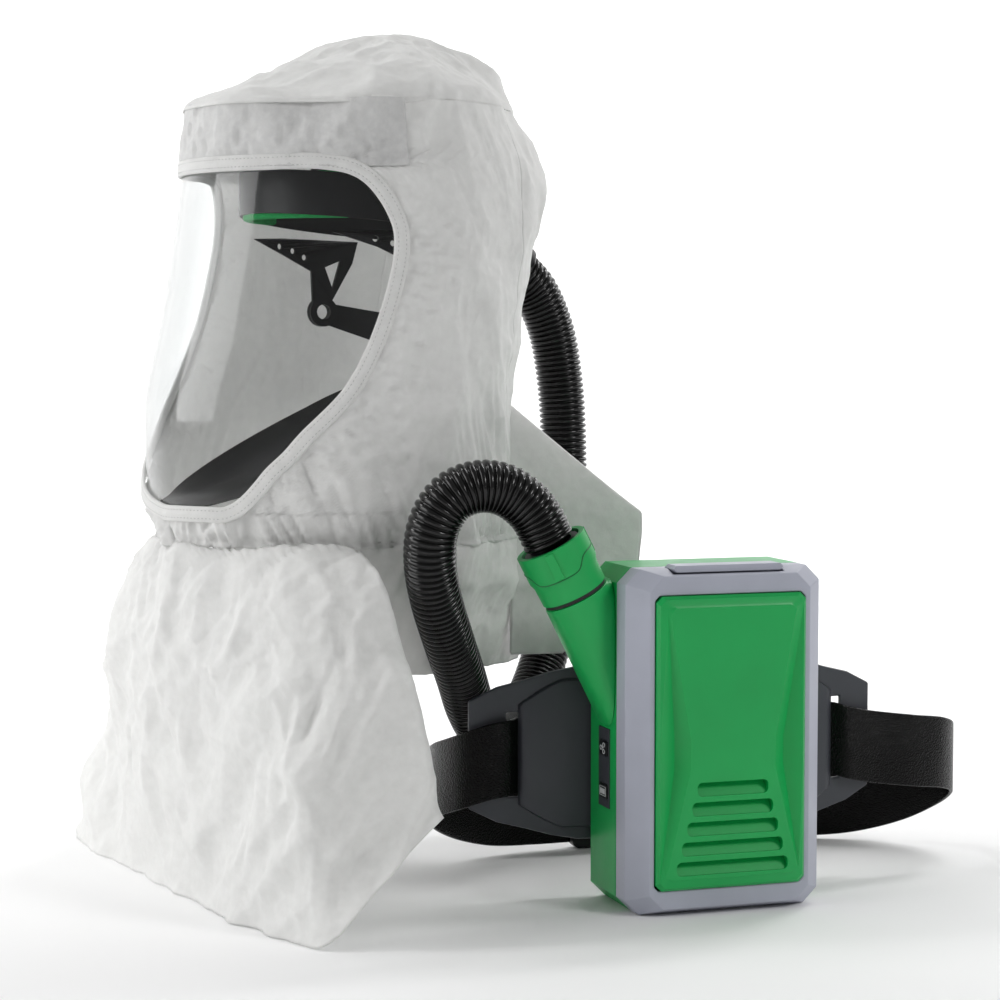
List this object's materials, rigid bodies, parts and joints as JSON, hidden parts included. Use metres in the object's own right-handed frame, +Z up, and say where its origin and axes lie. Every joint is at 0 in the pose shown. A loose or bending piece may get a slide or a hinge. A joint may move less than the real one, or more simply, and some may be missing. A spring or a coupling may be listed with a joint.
{
  "type": "powered air respirator",
  "caption": "Powered air respirator: belt-worn fan and filter unit, corrugated breathing hose, and a white loose-fitting hood with a clear visor and head harness.",
  "frame": {"origin": "middle of the object's box at the surface it stands on", "axes": "+Z up, +X to the right of the blower seen from its front, -Y towards the blower's front"},
  "size_m": [0.606, 0.4394, 0.5867],
  "materials": {
    "green_plastic": "satin",
    "bezel_plastic": "satin",
    "slate_plastic": "fine grain",
    "black_plastic": "satin",
    "hose_plastic": "glossy",
    "belt_web": "pebbled gloss",
    "hood_fabric": "spunbond, crumpled",
    "seal_fabric": "smooth knit",
    "visor_film": "clear",
    "seal_rubber": "matt",
    "foam": "soft foam",
    "pad_fabric": "mesh cloth",
    "steel": "bright",
    "board": "satin",
    "filter_paper": "pleated paper"
  },
  "bodies": {
    "root": {"rear_housing": "green_plastic", "outlet_duct": "green_plastic", "cover_frame": "bezel_plastic", "prefilter": "filter_paper", "filter_cartridge": "filter_paper", "filter_seal": "seal_rubber", "motor_plate": "slate_plastic", "fan_scroll": "slate_plastic", "motor": "steel", "circuit_board": "board", "control_panel": "slate_plastic", "housing_screw_1": "steel", "housing_screw_2": "steel", "housing_screw_3": "steel", "housing_screw_4": "steel", "outlet_seal": "seal_rubber", "hose_cuff_lower": "black_plastic", "breathing_hose": "hose_plastic", "hose_cuff_upper": "black_plastic", "hood_inlet": "black_plastic", "plate_clip": "slate_plastic", "backplate": "slate_plastic", "comfort_pad": "pad_fabric", "belt_left": "belt_web", "belt_right": "belt_web", "buckle_socket": "black_plastic", "buckle_tongue": "black_plastic", "hood_crown": "hood_fabric", "brim_band": "hood_fabric", "left_side_panel": "hood_fabric", "right_side_panel": "hood_fabric", "back_panel": "hood_fabric", "visor_lens": "visor_film", "visor_binding": "hood_fabric", "front_bib": "hood_fabric", "cape_left": "hood_fabric", "cape_back": "hood_fabric", "cape_right": "hood_fabric", "cape_flap": "hood_fabric", "neck_seal": "seal_fabric", "headband": "black_plastic", "brow_pad": "foam", "crown_strap": "black_plastic", "side_plate_left": "black_plastic", "side_plate_right": "black_plastic"},
    "fan": {"impeller": "black_plastic", "motor_shaft": "steel"},
    "cover": {"filter_cover": "green_plastic"},
    "latch": {"cover_latch": "bezel_plastic"},
    "battery": {"battery_pack": "slate_plastic"},
    "battery_catch": {"battery_release": "green_plastic"},
    "power": {"power_button": "black_plastic"},
    "charge": {"charge_button": "black_plastic"},
    "collar": {"locking_collar": "green_plastic"},
    "nape_band": {"nape_arm_left": "black_plastic", "nape_arm_right": "black_plastic"},
    "nape_rear": {"nape_housing": "black_plastic"},
    "ratchet": {"ratchet_knob": "black_plastic"},
    "buckle_release": {"buckle_button": "slate_plastic"}
  },
  "joints": [
    {"name": "fan_spin", "type": "hinge", "parent": "root", "child": "fan", "pos_m": [0.0699, -0.17665, 0.152], "axis": [0, 1, 0], "continuous": true},
    {"name": "cover_swing", "type": "hinge", "parent": "root", "child": "cover", "pos_m": [0.0699, -0.21615, 0.018], "axis": [1, 0, 0], "range_deg": [0, 75]},
    {"name": "latch_press", "type": "slide", "parent": "root", "child": "latch", "axis": [0, 0, -1], "range_m": [0, 0.0018], "stiffness_N_per_m": 800},
    {"name": "battery_slide", "type": "slide", "parent": "root", "child": "battery", "axis": [1, 0, 0], "range_m": [0, 0.1]},
    {"name": "battery_release_press", "type": "slide", "parent": "battery", "child": "battery_catch", "axis": [-1, 0, 0], "range_m": [0, 0.002], "stiffness_N_per_m": 800},
    {"name": "power_press", "type": "slide", "parent": "root", "child": "power", "axis": [1, 0, 0], "range_m": [0, 0.0012], "stiffness_N_per_m": 800},
    {"name": "charge_press", "type": "slide", "parent": "root", "child": "charge", "axis": [1, 0, 0], "range_m": [0, 0.0012], "stiffness_N_per_m": 800},
    {"name": "collar_twist", "type": "hinge", "parent": "root", "child": "collar", "pos_m": [-0.0221, -0.16865, 0.21], "axis": [-0.4617, 0, 0.887], "range_deg": [0, 45]},
    {"name": "nape_tilt", "type": "hinge", "parent": "root", "child": "nape_band", "pos_m": [-0.11315, 0.00779, 0.4], "axis": [0.2198, -0.9755, 0], "range_deg": [-5, 15]},
    {"name": "nape_tighten", "type": "slide", "parent": "nape_band", "child": "nape_rear", "axis": [-0.9755, -0.2198, 0], "range_m": [0, 0.008]},
    {"name": "ratchet_turn", "type": "hinge", "parent": "nape_rear", "child": "ratchet", "pos_m": [-0.04584, 0.02296, 0.384], "axis": [-0.9755, -0.2198, 0], "range_deg": [0, 270]},
    {"name": "buckle_press", "type": "slide", "parent": "root", "child": "buckle_release", "axis": [0, -1, 0], "range_m": [0, 0.0015], "stiffness_N_per_m": 800}
  ],
  "couplings": [
    {"joint": "ratchet_turn", "follows": "nape_tighten", "rad_per_m": 589.04}
  ]
}
